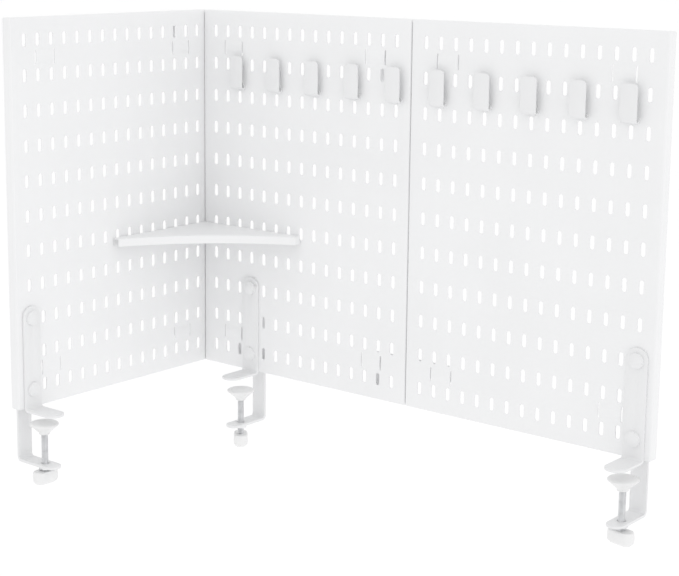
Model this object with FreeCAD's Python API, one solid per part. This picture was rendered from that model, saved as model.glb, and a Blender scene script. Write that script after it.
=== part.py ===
import FreeCAD, Part
import os
from math import cos, radians, sin, sqrt

# Clamp-on pegboard for a desk corner: three folded steel panels, two straight connectors,
# two corner brackets, three screw clamps, ten hooks and a corner shelf. Millimetres.
# Frame: +X along the middle and right panels, +Y away from the user, +Z up. The origin is
# on the underside of the middle clamp's upper jaw, on the axis of its screw.

V = FreeCAD.Vector

# ---- panels ----
PITCH_X = 20.0          # slot columns
PITCH_Z = 40.0          # slot rows
COLS, ROWS = 15, 11
SLOT_W, SLOT_L = 5.2, 15.0
MARGIN_X = 20.0         # first column to the panel's end
MARGIN_Z = 25.0         # first row to the panel's edge
SHEET = 1.2
DEPTH = 14.0            # folded rim, front face to back
LIP = 8.0               # return lip round the back
BEND_R = 2.0            # outside radius of the folded edge
LOOP_W, LOOP_H = 29.6, 17.0
LOOP_SLIT = 1.6         # opening at each side of a raised loop
LOOP_OUT = 0.8          # how far a loop stands out of the face
LOOP_RAMP = 3.0         # sloped part of a loop, top and bottom
LOOP_COLUMN = 1.5       # loop centre, in columns from the first one
ROUND_COLUMN = 7        # column whose middle slots carry accessory studs
ROUND_ROWS = (4, 5)
PANEL_GAP = 1.0         # panel to panel
CORNER_GAP = 0.4        # left panel's face to the middle panel's end
LAP = 8.0               # left panel's end behind the middle panel's face

# ---- connectors ----
PLATE_T = 2.0
PLATE_H = 19.0          # straight connectors
CORNER_H = 14.0         # corner brackets
PLATE_END = 12.0        # plate's end past the loop centre
PLATE_R = 3.0           # inside bend radius of the corner bracket
TONGUE_T = 1.6
POCKET_GAP = 0.3        # connector foot to the loop round it
LEG_W, LEG_END = 10.0, 39.5     # latch leg, and its end from the loop's centre

# ---- clamps ----
CLAMP_COLUMNS = {"left": 0, "middle": 3, "right": 14}
KNOB_ANGLES = {"left": 86.0, "middle": -48.0, "right": -10.0}
JAW_T, JAW_W = 3.0, 25.0
JAW_R = 2.5             # inside bend radius
SCREW_OUT = 20.0        # screw axis to the panel face
JAW_TIP = 28.0          # upper jaw's tip past the screw axis
BAR_T, BAR_W = 3.0, 20.0
BAR_R = 3.5
BAR_TIP = 22.0          # lower jaw's tip past the screw axis
THROAT = 60.0           # upper jaw to lower jaw
BOLT_SPACING = 85.0
BOLT_LOW = 22.5         # lower bolt above the panel's bottom edge
BOLT_HEAD_R, BOLT_HEAD_H, BOLT_RIM = 8.5, 4.2, 0.9
BOLT_R = 2.4
BOLT_CLEAR = 0.2        # bolt to its holes, on the radius
JAW_TOP = 13.5          # plate's end above the upper bolt
BAR_TOP = 60.0          # rear bar's end above the lower bolt
NUT_AF, NUT_T = 8.0, 4.0
BOLT_PROUD = 1.5        # bolt's end past its nut
SCREW_R = 4.0
THREAD_CLEAR = 0.15     # on the radius
HOLE_CLEAR = 0.6        # screw to the lower jaw's hole, on the radius
JAW_NUT_AF, JAW_NUT_T = 13.0, 4.0
PAD_R, PAD_RIM, PAD_H = 17.0, 3.0, 15.0
PAD_WAIST_R, PAD_WAIST = 11.5, 7.5      # break in the pad's cone, and its depth
PAD_NECK_R, PAD_NECK_H = 6.5, 3.0
PAD_DROP = 10.0         # pad's face below the upper jaw, where the screw is set highest
SCREW_SET = {"left": 0.0, "middle": 6.0, "right": 2.0}      # how far each screw is let down
PAD_CAP = 6.0           # pad's solid top over the screw's end
PIVOT_GAP = 0.3
KNOB_L, KNOB_W, KNOB_H = 32.0, 18.0, 15.0
KNOB_EDGE = 3.0
KNOB_GAP = 1.5          # knob below the jaw nut
KNOB_GRIP = 12.0        # screw's length inside the knob

# ---- hooks ----
HOOK_ROW = 1
HOOK_COLUMNS = {"middle": (2, 5, 8, 11, 14), "right": (1, 4, 7, 10, 13)}
HOOK_W, HOOK_T = 20.0, 1.6
HOOK_BACK_W = 12.0      # the back leaf is narrower than the front
HOOK_OUT = 8.0          # front face of the hook to the panel face
HOOK_TOP = 11.0         # top above the slot's centre
HOOK_LOW = 30.0         # bottom below the slot's centre
HOOK_CORNER = 5.0
FACE_GAP = 0.1          # hook's back to the panel face
TAB_W, TAB_T = 3.0, 2.0
TAB_REST = 0.5          # tab above the bottom of its slot
TAB_CLEAR = 0.3         # lip to the back of the sheet
TAB_DROP = 5.5          # lip below its tab
TAB_ROOM = 3.0          # hook's back plate above its tab

# ---- shelf ----
SHELF_ROW = 6
SHELF_LEG = 160.0
SHELF_TIP = 10.0        # blunt end at each tip
SHELF_SAG = 18.0        # hollow of the curved front edge
SHELF_T = 1.5
SHELF_RIM = 10.0        # depth of the turned-down rim
SHELF_TOP = 2.5         # shelf's face below the slot's centre
SHELF_GAP = 0.2         # shelf to the panels
SHELF_COLUMNS = {"left": (13, 8), "middle": (1, 6)}
EAR_T, EAR_H = 2.0, 3.5

# ---- derived places ----
PANEL_W = 2 * MARGIN_X + (COLS - 1) * PITCH_X
PANEL_H = 2 * MARGIN_Z + (ROWS - 1) * PITCH_Z
FACE_Y = SCREW_OUT                      # front plane of the middle and right panels
BACK_Y = FACE_Y + DEPTH
BOTTOM_Z = JAW_T                        # panels stand on the upper jaws' level
MIDDLE_X = -(MARGIN_X + CLAMP_COLUMNS["middle"] * PITCH_X)
RIGHT_X = MIDDLE_X + PANEL_W + PANEL_GAP
CORNER_X = MIDDLE_X - CORNER_GAP        # front plane of the left panel
LEFT_Y = FACE_Y + LAP - PANEL_W         # left panel's free end
LOOPS_X = (MARGIN_X + LOOP_COLUMN * PITCH_X, PANEL_W - MARGIN_X - LOOP_COLUMN * PITCH_X)
LOOPS_Z = (MARGIN_Z + PITCH_Z / 2, PANEL_H - MARGIN_Z - PITCH_Z / 2)


def column(c):
    """Slot column's place along its panel, from the panel's left end."""
    return MARGIN_X + c * PITCH_X


def row(r):
    """Slot row's height above the panel's bottom edge, counted from the top."""
    return MARGIN_Z + (ROWS - 1 - r) * PITCH_Z


def box(x0, x1, y0, y1, z0, z1):
    return Part.makeBox(x1 - x0, y1 - y0, z1 - z0, V(x0, y0, z0))


def in_yz(x):
    return lambda a, b: V(x, a, b)


def in_xy(z):
    return lambda a, b: V(a, b, z)


def in_xz(y):
    return lambda a, b: V(a, y, b)


def outline(points, put):
    """Closed wire through flat points; a third entry marks the middle of an arc."""
    pts, edges, i = list(points) + [points[0]], [], 0
    while i < len(pts) - 1:
        start, nxt = put(*pts[i][:2]), pts[i + 1]
        if len(nxt) == 3:
            edges.append(Part.Arc(start, put(*nxt[:2]), put(*pts[i + 2][:2])).toShape())
            i += 2
        else:
            edges.append(Part.makeLine(start, put(*nxt[:2])))
            i += 1
    return Part.Wire(edges)


def prism(points, put, along):
    return Part.Face(outline(points, put)).extrude(along)


def turned(points, centre, axis):
    """Solid turned from (radius, height) points round an axis through the centre."""
    profile = Part.Face(outline(points, in_xz(0.0)))
    solid = profile.revolve(V(0, 0, 0), V(0, 0, 1), 360)
    solid.Placement = FreeCAD.Placement(centre, FreeCAD.Rotation(V(0, 0, 1), axis))
    return solid


def rod(radius, x, y, z0, z1):
    return Part.makeCylinder(radius, z1 - z0, V(x, y, z0))


def lines(solid, axis, **at):
    """Straight edges along an axis whose centres have the given coordinates."""
    found = []
    for e in solid.Edges:
        if e.Curve.TypeId != "Part::GeomLine":
            continue
        if abs(getattr(e.tangentAt(e.FirstParameter), axis)) < 0.999:
            continue
        if all(abs(getattr(e.CenterOfMass, k) - v) < 0.01 for k, v in at.items()):
            found.append(e)
    return found


def hexagon(across_flats, x, y, turn=0.0):
    r = across_flats / sqrt(3)
    return [(x + r * cos(radians(60 * k + turn)), y + r * sin(radians(60 * k + turn)))
            for k in range(6)]


# ---- panel, in its own frame: left end at x = 0, face at y = 0, bottom at z = 0 ----

def folded_tray():
    outer = box(0, PANEL_W, 0, DEPTH, 0, PANEL_H)
    rim = [e for e in outer.Edges if abs(e.CenterOfMass.y) < 0.01]
    outer = outer.makeFillet(BEND_R, rim)
    t = SHEET
    inner = box(t, PANEL_W - t, t, DEPTH - t, t, PANEL_H - t)
    rim = [e for e in inner.Edges if abs(e.CenterOfMass.y - t) < 0.01]
    inner = inner.makeFillet(BEND_R - t, rim)
    opening = box(LIP, PANEL_W - LIP, DEPTH - 2 * t, DEPTH + t, LIP, PANEL_H - LIP)
    return outer.cut(inner).cut(opening)


def slot(x, z, rounded):
    w, h = SLOT_W / 2, SLOT_L / 2
    y0, y1 = -SHEET, 2 * SHEET
    if not rounded:
        return box(x - w, x + w, y0, y1, z - h, z + h)
    pts = [(x - w, z - h + w), (x, z - h, "arc"), (x + w, z - h + w),
           (x + w, z + h - w), (x, z + h, "arc"), (x - w, z + h - w)]
    return prism(pts, in_xz(y0), V(0, y1 - y0, 0))


def slots():
    cuts = []
    for c in range(COLS):
        for r in range(ROWS):
            cuts.append(slot(column(c), row(r), c == ROUND_COLUMN and r in ROUND_ROWS))
    return Part.Compound(cuts)


def loop_strap(x, z):
    """Strap pushed out of the face between two slits, joined above and below."""
    h, flat = LOOP_H / 2, LOOP_H / 2 - LOOP_RAMP
    w = LOOP_W / 2 - LOOP_SLIT
    out = LOOP_OUT
    pts = [(0, z - h), (-out, z - flat), (-out, z + flat), (0, z + h),
           (SHEET, z + h), (SHEET, z + h - 0.6 * SHEET), (SHEET - out, z + flat - 0.2 * SHEET),
           (SHEET - out, z - flat + 0.2 * SHEET), (SHEET, z - h + 0.6 * SHEET), (SHEET, z - h)]
    return prism(pts, in_yz(x - w), V(2 * w, 0, 0))


def panel():
    tray = folded_tray().cut(slots())
    for x in LOOPS_X:
        for z in LOOPS_Z:
            window = box(x - LOOP_W / 2, x + LOOP_W / 2, -SHEET, 2 * SHEET,
                         z - LOOP_H / 2, z + LOOP_H / 2)
            tray = tray.cut(window).fuse(loop_strap(x, z))
    return tray.removeSplitter()


def on_middle(shape):
    out = shape.copy()
    out.translate(V(MIDDLE_X, FACE_Y, BOTTOM_Z))
    return out


def on_right(shape):
    out = shape.copy()
    out.translate(V(RIGHT_X, FACE_Y, BOTTOM_Z))
    return out


def on_left(shape):
    out = shape.copy()
    out.rotate(V(0, 0, 0), V(0, 0, 1), 90)
    out.translate(V(CORNER_X, LEFT_Y, BOTTOM_Z))
    return out


# ---- connectors ----

def foot(x, z):
    """Tab of a connector, from its plate forward into the pocket of a loop."""
    w = LOOP_W / 2 - LOOP_SLIT - 5 * POCKET_GAP
    h = LOOP_H / 2 - LOOP_RAMP - POCKET_GAP
    front = SHEET - LOOP_OUT + POCKET_GAP
    face = box(x - w, x + w, front, front + TONGUE_T, z - h, z + h)
    web = box(x - PLATE_T / 2, x + PLATE_T / 2, front, DEPTH + PLATE_T / 2, z - h, z + h)
    return face.fuse(web)


def leg(x, z, down):
    """Latch leg that hangs from a plate's edge over the panel's back."""
    z0, z1 = (z - LEG_END, z) if down else (z, z + LEG_END)
    plate = box(x - LEG_W / 2, x + LEG_W / 2, DEPTH, DEPTH + PLATE_T, z0, z1)
    return plate.makeFillet(LEG_W / 2 - 1, lines(plate, "y", z=z0 if down else z1))


def straight_connector(z):
    """Flat plate behind the joint of the middle and right panels, in the middle's frame."""
    x0 = LOOPS_X[1]
    x1 = PANEL_W + PANEL_GAP + LOOPS_X[0]
    plate = box(x0 - PLATE_END, x1 + PLATE_END, DEPTH, DEPTH + PLATE_T,
                z - PLATE_H / 2, z + PLATE_H / 2)
    plate = plate.makeFillet(2 * PLATE_T, lines(plate, "y"))
    return plate.fuse([foot(x0, z), foot(x1, z), leg(x0, z, True)]).removeSplitter()


def corner_bracket(z, leg_on_left):
    """Bent plate round the outside of the corner, placed in the row's frame."""
    x0, x1 = CORNER_X - DEPTH, MIDDLE_X + LOOPS_X[0] + PLATE_END
    y1, y0 = BACK_Y, LEFT_Y + LOOPS_X[1] - PLATE_END
    t = PLATE_T
    pts = [(x1, y1), (x1, y1 + t), (x0 - t, y1 + t), (x0 - t, y0), (x0, y0), (x0, y1)]
    z0 = BOTTOM_Z + z - CORNER_H / 2
    plate = prism(pts, in_xy(z0), V(0, 0, CORNER_H))
    plate = plate.makeFillet(PLATE_R + t, lines(plate, "z", x=x0 - t, y=y1 + t))
    plate = plate.makeFillet(PLATE_R, lines(plate, "z", x=x0, y=y1))
    ends = lines(plate, "y", x=x1) + lines(plate, "x", y=y0)
    plate = plate.makeFillet(2 * t, ends)
    catch = leg(LOOPS_X[1], z, False) if leg_on_left else leg(LOOPS_X[0], z, True)
    catch = on_left(catch) if leg_on_left else on_middle(catch)
    feet = [on_middle(foot(LOOPS_X[0], z)), on_left(foot(LOOPS_X[1], z)), catch]
    return plate.fuse(feet).removeSplitter()


# ---- clamp, in its own frame: screw axis on x = y = 0, jaw face at z = 0 ----

def bolt_heights():
    low = BOTTOM_Z + BOLT_LOW
    return (low, low + BOLT_SPACING)


def bolt_hole(y0, y1, z):
    return Part.makeCylinder(BOLT_R + BOLT_CLEAR, y1 - y0, V(0, y0, z), V(0, 1, 0))


def behind_bolts():
    """Each bolt's height and the plane that its nut sits on: the lower one goes through the
    rear bar, the upper one only through the panel's sheet."""
    low, high = bolt_heights()
    return ((low, SCREW_OUT + DEPTH + BAR_T), (high, SCREW_OUT + SHEET))


def upper_jaw():
    y1, w = SCREW_OUT, JAW_W / 2
    y0, top = y1 - JAW_T, bolt_heights()[1] + JAW_TOP
    pts = [(y1, 0), (y1, top), (y0, top), (y0, JAW_T), (-JAW_TIP, JAW_T), (-JAW_TIP, 0)]
    jaw = prism(pts, in_yz(-w), V(2 * w, 0, 0))
    jaw = jaw.makeFillet(JAW_R, lines(jaw, "x", y=y0, z=JAW_T))
    jaw = jaw.makeFillet(JAW_R + JAW_T, lines(jaw, "x", y=y1, z=0))
    jaw = jaw.makeFillet(0.96 * w, lines(jaw, "y", z=top) + lines(jaw, "z", y=-JAW_TIP))
    return jaw.cut([bolt_hole(y0 - 1, y1 + 1, z) for z in bolt_heights()])


def rear_bracket():
    y0, w = SCREW_OUT + DEPTH, BAR_W / 2
    low = bolt_heights()[0]
    y1, top = y0 + BAR_T, low + BAR_TOP
    z1, z0 = -THROAT, -THROAT - BAR_T
    pts = [(y1, top), (y1, z0), (-BAR_TIP, z0), (-BAR_TIP, z1), (y0, z1), (y0, top)]
    bar = prism(pts, in_yz(-w), V(2 * w, 0, 0))
    bar = bar.makeFillet(BAR_R, lines(bar, "x", y=y0, z=z1))
    bar = bar.makeFillet(BAR_R + BAR_T, lines(bar, "x", y=y1, z=z0))
    bar = bar.makeFillet(0.96 * w, lines(bar, "z", y=-BAR_TIP))
    bar = bar.makeFillet(0.3 * w, lines(bar, "y", z=top))
    hole = rod(SCREW_R + HOLE_CLEAR, 0, 0, z0 - 1, z1 + 1)
    return bar.cut([bolt_hole(y0 - 1, y1 + 1, low), hole])


def bolts():
    head, y = BOLT_HEAD_R, SCREW_OUT - JAW_T
    made = []
    for z, seat in behind_bolts():
        grip = seat - y + NUT_T + BOLT_PROUD
        pts = [(0, -grip), (BOLT_R, -grip), (BOLT_R, 0), (head, 0), (head, BOLT_RIM),
               (0.55 * head, BOLT_HEAD_H), (0, BOLT_HEAD_H)]
        made.append(turned(pts, V(0, y, z), V(0, -1, 0)))
    return Part.Compound(made)


def bolt_nuts():
    nuts = []
    for z, y in behind_bolts():
        nut = prism(hexagon(NUT_AF, 0, z), in_xz(y), V(0, NUT_T, 0))
        nuts.append(nut.cut(Part.makeCylinder(BOLT_R + THREAD_CLEAR, NUT_T, V(0, y, z), V(0, 1, 0))))
    return Part.Compound(nuts)


def jaw_nut():
    z1 = -THROAT - BAR_T
    nut = prism(hexagon(JAW_NUT_AF, 0, 0, 30), in_xy(z1 - JAW_NUT_T), V(0, 0, JAW_NUT_T))
    return nut.cut(rod(SCREW_R + THREAD_CLEAR, 0, 0, z1 - JAW_NUT_T, z1))


def pad(let_down):
    neck, bore = PAD_NECK_R, SCREW_R + PIVOT_GAP
    pts = [(0, 0), (PAD_R, 0), (PAD_R, -PAD_RIM), (PAD_WAIST_R, -PAD_WAIST),
           (neck, PAD_NECK_H - PAD_H), (neck, -PAD_H), (bore, -PAD_H), (bore, -PAD_CAP),
           (0, -PAD_CAP)]
    return turned(pts, V(0, 0, -PAD_DROP - let_down), V(0, 0, 1))


def knob_top(let_down):
    return -THROAT - BAR_T - JAW_NUT_T - KNOB_GAP - let_down


def screw(let_down):
    top = -PAD_DROP - PAD_CAP - PIVOT_GAP - let_down
    low = knob_top(let_down) - KNOB_GRIP
    r = SCREW_R
    pts = [(0, low), (r, low), (r, top - r / 2), (r / 2, top), (0, top)]
    return turned(pts, V(0, 0, 0), V(0, 0, 1))


def knob(angle, let_down):
    top, w = knob_top(let_down), KNOB_W / 2
    half = KNOB_L / 2 - w
    pts = [(-half, -w), (half, -w), (half + w, 0, "arc"), (half, w), (-half, w),
           (-half - w, 0, "arc")]
    body = prism(pts, in_xy(top - KNOB_H), V(0, 0, KNOB_H))
    ends = [e for e in body.Edges if abs(e.CenterOfMass.z - top + KNOB_H) < 0.01]
    body = body.makeChamfer(KNOB_EDGE, ends)
    body = body.cut(rod(SCREW_R, 0, 0, top - KNOB_GRIP, top + 1))
    body.rotate(V(0, 0, 0), V(0, 0, 1), angle)
    return body


def clamp(side):
    """Pieces of one clamp, moved to its column and panel."""
    turn = 90.0 if side == "left" else 0.0
    down = SCREW_SET[side]
    pieces = {"upper_jaw": upper_jaw(), "rear_bracket": rear_bracket(), "bolts": bolts(),
              "bolt_nuts": bolt_nuts(), "jaw_nut": jaw_nut(), "pad": pad(down), "screw": screw(down),
              "knob": knob(KNOB_ANGLES[side] - turn, down)}
    along = column(CLAMP_COLUMNS[side])
    if side == "left":
        place = V(CORNER_X + SCREW_OUT, LEFT_Y + along, 0)
    else:
        place = V((MIDDLE_X if side == "middle" else RIGHT_X) + along, 0, 0)
    for piece in pieces.values():
        piece.rotate(V(0, 0, 0), V(0, 0, 1), turn)
        piece.translate(place)
    return {side + "_" + name: piece for name, piece in pieces.items()}


# ---- hook, in a panel's frame ----

def tab(x, z, thick, width, root, drop):
    """Tab through a slot with a lip turned down behind the sheet; z is its underside."""
    back = SHEET + TAB_CLEAR
    pts = [(root, z), (back, z), (back, z - drop), (back + thick, z - drop),
           (back + thick, z + thick), (root, z + thick)]
    return prism(pts, in_yz(x - width / 2), V(width, 0, 0))


def hook(c):
    x, centre = column(c), row(HOOK_ROW)
    top, low = centre + HOOK_TOP, centre - HOOK_LOW
    under = centre - SLOT_L / 2 + TAB_REST
    front, back, t = -HOOK_OUT, -FACE_GAP, HOOK_T
    mid, r = (front + back) / 2, (back - front) / 2
    zc, end = low + r, under + TAB_T + TAB_ROOM
    pts = [(front, top), (front, zc), (mid, low, "arc"), (back, zc), (back, end),
           (back - t, end), (back - t, zc), (mid, low + t, "arc"), (front + t, zc),
           (front + t, top)]
    body = prism(pts, in_yz(x - HOOK_W / 2), V(HOOK_W, 0, 0))
    body = body.makeFillet(HOOK_CORNER, lines(body, "y", z=top))
    for side in (-1, 1):
        inner, outer = x + side * HOOK_BACK_W / 2, x + side * (HOOK_W / 2 + 1)
        body = body.cut(box(min(inner, outer), max(inner, outer), mid, back + 1, zc, end + 1))
    return body.fuse(tab(x, under, TAB_T, TAB_W, back - t / 2, TAB_DROP)).removeSplitter()


# ---- shelf, in the row's frame ----

def shelf_outline(inset):
    """Corner triangle with blunt tips and a hollow front, moved in by the inset."""
    g, leg_, tip = SHELF_GAP + inset, SHELF_LEG - inset, SHELF_TIP - 0.4 * inset
    mid = (leg_ + tip) / 2 - (SHELF_SAG + inset) / sqrt(2)
    pts = [(g, -g), (g, -leg_), (tip, -leg_), (mid, -mid, "arc"), (leg_, -tip), (leg_, -g)]
    return [(CORNER_X + p[0], FACE_Y + p[1]) + p[2:] for p in pts]


def ear(x):
    """Upright ear behind the shelf's rim, hooked through a slot of row SHELF_ROW."""
    under = row(SHELF_ROW) - SLOT_L / 2 + TAB_REST
    back = SHEET + TAB_CLEAR
    root = -SHELF_GAP - SHELF_T / 2
    pts = [(root, under), (back, under), (back, under - TAB_DROP),
           (back + SHELF_T, under - TAB_DROP), (back + SHELF_T, under + EAR_H),
           (root, under + EAR_H)]
    return prism(pts, in_yz(x - EAR_T / 2), V(EAR_T, 0, 0))


def corner_shelf():
    top = BOTTOM_Z + row(SHELF_ROW) - SHELF_TOP
    low = top - SHELF_RIM
    shell = prism(shelf_outline(0.0), in_xy(low), V(0, 0, SHELF_RIM))
    hollow = prism(shelf_outline(SHELF_T), in_xy(low - 1), V(0, 0, SHELF_RIM - SHELF_T + 1))
    shell = shell.cut(hollow)
    ears = [on_left(ear(column(c))) for c in SHELF_COLUMNS["left"]]
    ears += [on_middle(ear(column(c))) for c in SHELF_COLUMNS["middle"]]
    return shell.fuse(ears).removeSplitter()


def build():
    sheet = panel()
    low, high = LOOPS_Z
    nodes = {"left_panel": on_left(sheet), "middle_panel": on_middle(sheet),
             "right_panel": on_right(sheet)}
    nodes["straight_connector_top"] = on_middle(straight_connector(high))
    nodes["straight_connector_bottom"] = on_middle(straight_connector(low))
    nodes["corner_bracket_top"] = corner_bracket(high, True)
    nodes["corner_bracket_bottom"] = corner_bracket(low, False)
    nodes["corner_shelf"] = corner_shelf()
    for side in CLAMP_COLUMNS:
        nodes.update(clamp(side))
    number = 1
    for side, place in (("middle", on_middle), ("right", on_right)):
        for c in HOOK_COLUMNS[side]:
            nodes["hook_%d" % number] = place(hook(c))
            number += 1
    return nodes


os.makedirs("parts", exist_ok=True)
for node, shape in build().items():
    shape.exportStep("parts/%s.step" % node)
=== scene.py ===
import math

import bmesh
import bpy
import numpy as np
from bpy.props import FloatProperty, FloatVectorProperty, IntProperty, PointerProperty
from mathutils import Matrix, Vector


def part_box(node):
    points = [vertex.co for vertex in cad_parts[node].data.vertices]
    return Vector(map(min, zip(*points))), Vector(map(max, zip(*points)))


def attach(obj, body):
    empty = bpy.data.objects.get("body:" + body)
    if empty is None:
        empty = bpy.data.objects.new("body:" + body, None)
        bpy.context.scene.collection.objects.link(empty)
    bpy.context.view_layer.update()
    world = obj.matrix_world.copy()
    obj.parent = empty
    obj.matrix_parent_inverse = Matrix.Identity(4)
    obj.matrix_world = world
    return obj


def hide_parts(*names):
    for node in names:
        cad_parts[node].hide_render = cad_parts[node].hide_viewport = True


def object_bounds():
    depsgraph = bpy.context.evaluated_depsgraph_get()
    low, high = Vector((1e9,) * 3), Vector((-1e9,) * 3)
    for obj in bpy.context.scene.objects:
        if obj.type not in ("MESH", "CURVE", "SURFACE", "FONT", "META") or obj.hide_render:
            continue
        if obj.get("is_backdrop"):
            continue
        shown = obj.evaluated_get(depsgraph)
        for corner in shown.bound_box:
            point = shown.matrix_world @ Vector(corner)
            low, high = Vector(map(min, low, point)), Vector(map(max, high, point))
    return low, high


bl_info = {
    "name": "Clamp-on Pegboard",
    "version": (1, 0, 0),
    "blender": (4, 5, 0),
    "location": "View3D > Sidebar > Pegboard",
    "description": "Finishes a corner pegboard with hooks, a shelf and desk clamps",
    "category": "Object",
}

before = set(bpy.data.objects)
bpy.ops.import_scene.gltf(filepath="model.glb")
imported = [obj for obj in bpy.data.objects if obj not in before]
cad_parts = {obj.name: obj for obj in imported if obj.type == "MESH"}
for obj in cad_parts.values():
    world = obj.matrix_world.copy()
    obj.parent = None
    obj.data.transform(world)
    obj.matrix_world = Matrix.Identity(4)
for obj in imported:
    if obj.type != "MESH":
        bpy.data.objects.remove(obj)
MM = 0.001
SIDES = ("left", "middle", "right")
HOOKS = 10
EAR_COLUMNS = {"left": (13, 8), "middle": (1, 6)}   # slot columns that hold the shelf's ears


def length(label, text, default):
    return FloatProperty(name=label, description=text, default=default, subtype="DISTANCE",
                         unit="LENGTH", precision=5)


def angle(label, text, degrees):
    return FloatProperty(name=label, description=text, default=math.radians(degrees),
                         subtype="ANGLE", unit="ROTATION")


def power(label, text, watts):
    return FloatProperty(name=label, description=text, default=watts, unit="POWER")


def colour(label, text, default):
    return FloatVectorProperty(name=label, description=text, default=default, size=3,
                               subtype="COLOR", min=0.0, max=1.0)


def share(label, text, default):
    return FloatProperty(name=label, description=text, default=default, subtype="FACTOR",
                         min=0.0, max=1.0)


# ---- sizes and colours a user would change ----

class PegboardPanelSizes(bpy.types.PropertyGroup):
    columns: IntProperty(name="Columns", description="Slot columns in a panel", default=15)
    rows: IntProperty(name="Rows", description="Slot rows in a panel", default=11)
    pitch: length("Column pitch", "Slot to slot along a row", 20 * MM)
    row_pitch: length("Row pitch", "Row to row", 40 * MM)
    slot_width: length("Slot width", "Width of a slot", 5.2 * MM)
    slot_length: length("Slot length", "Height of a slot, round ends included", 15 * MM)
    slot_edge: length("Slot edge", "Rounding of the punched edge", 0.3 * MM)
    margin: length("Side margin", "First column to the panel's end", 20 * MM)
    row_margin: length("Row margin", "First row to the panel's edge", 25 * MM)
    sheet: length("Sheet", "Thickness of the steel", 1.2 * MM)
    depth: length("Depth", "Face to the back of the folded rim", 14 * MM)
    lip: length("Return lip", "Width of the lip along the back's top and foot", 8 * MM)
    side_lip: length("Side lip", "Width of the lip along the back's upright edges", 4 * MM)
    bend: length("Bend", "Outside radius of the folds", 2 * MM)
    loop_width: length("Loop width", "Raised loop with its two slits", 29.6 * MM)
    loop_height: length("Loop height", "Length of a loop's slits", 17 * MM)
    loop_slit: length("Loop slit", "Opening beside a loop", 1.6 * MM)
    loop_out: length("Loop rise", "How far a loop stands out", 0.8 * MM)
    loop_ramp: length("Loop ramp", "Sloped part at each end of a loop", 6 * MM)
    loop_land: length("Loop land", "Plain height of a loop's cell beyond its slits", 1 * MM)
    loop_column: FloatProperty(name="Loop column", default=1.5,
                               description="First column to a loop's middle, in column pitches")
    connector_edge: length("Connector edge", "Rounding of the plates behind the joints", 0.35 * MM)


class PegboardHookSizes(bpy.types.PropertyGroup):
    width: length("Width", "Width of a hook's strap", 20 * MM)
    back_width: length("Back width", "Width of the back leaf", 12 * MM)
    taper: length("Taper", "Height over which the back leaf narrows", 4 * MM)
    thickness: length("Thickness", "Thickness of a hook's strap", 1.6 * MM)
    corner: length("Corner", "Rounding of the top corners", 5 * MM)
    edge: length("Edge", "Rounding of the strap's edges", 0.5 * MM)
    gap: length("Gap", "Back leaf to the panel", 0.1 * MM)
    leaf_end: length("Leaf end", "How far the back leaf stands above the tab", 3 * MM)
    tab: length("Tab", "Thickness of the tab in the slot", 2 * MM)
    tab_width: length("Tab width", "Width of the tab in the slot", 3 * MM)
    tab_height: length("Tab height", "Hook's foot to the tab's underside", 23 * MM)
    tab_reach: length("Tab reach", "Panel's face to the tab's lip", 1.5 * MM)
    tab_drop: length("Tab drop", "How far the tab's lip hangs behind the sheet", 5.5 * MM)
    tab_bend: length("Tab bend", "Where the tab starts to turn down, from its corner", 0.6 * MM)
    tab_cut: length("Tab cut", "Middle of the tab's bend, in from the corner", 0.17 * MM)
    tab_edge: length("Tab edge", "Rounding of the tab's edges", 0.3 * MM)


class PegboardShelfSizes(bpy.types.PropertyGroup):
    leg: length("Leg", "Length along each panel", 160 * MM)
    tip: length("Tip", "Blunt end at each tip", 10 * MM)
    sag: length("Hollow", "Depth of the curved front", 18 * MM)
    rim: length("Rim", "Depth of the turned-down rim", 10 * MM)
    sheet: length("Sheet", "Thickness of the shelf", 1.5 * MM)
    bend: length("Bend", "Outside radius of the rim's bend", 1.6 * MM)
    edge: length("Edge", "Rounding of the cut edges", 0.4 * MM)
    gap: length("Gap", "Shelf to the panels", 0.2 * MM)
    ear: length("Ear", "Thickness of the ears in the slots", 2 * MM)
    ear_under: length("Ear's underside", "Shelf's top to the underside of an ear", 4.5 * MM)
    ear_height: length("Ear height", "Height of an ear in its slot", 3.5 * MM)
    ear_drop: length("Ear drop", "How far an ear's lip hangs behind the sheet", 5.5 * MM)
    ear_reach: length("Ear reach", "Panel's face to the ear's lip", 1.5 * MM)


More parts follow.
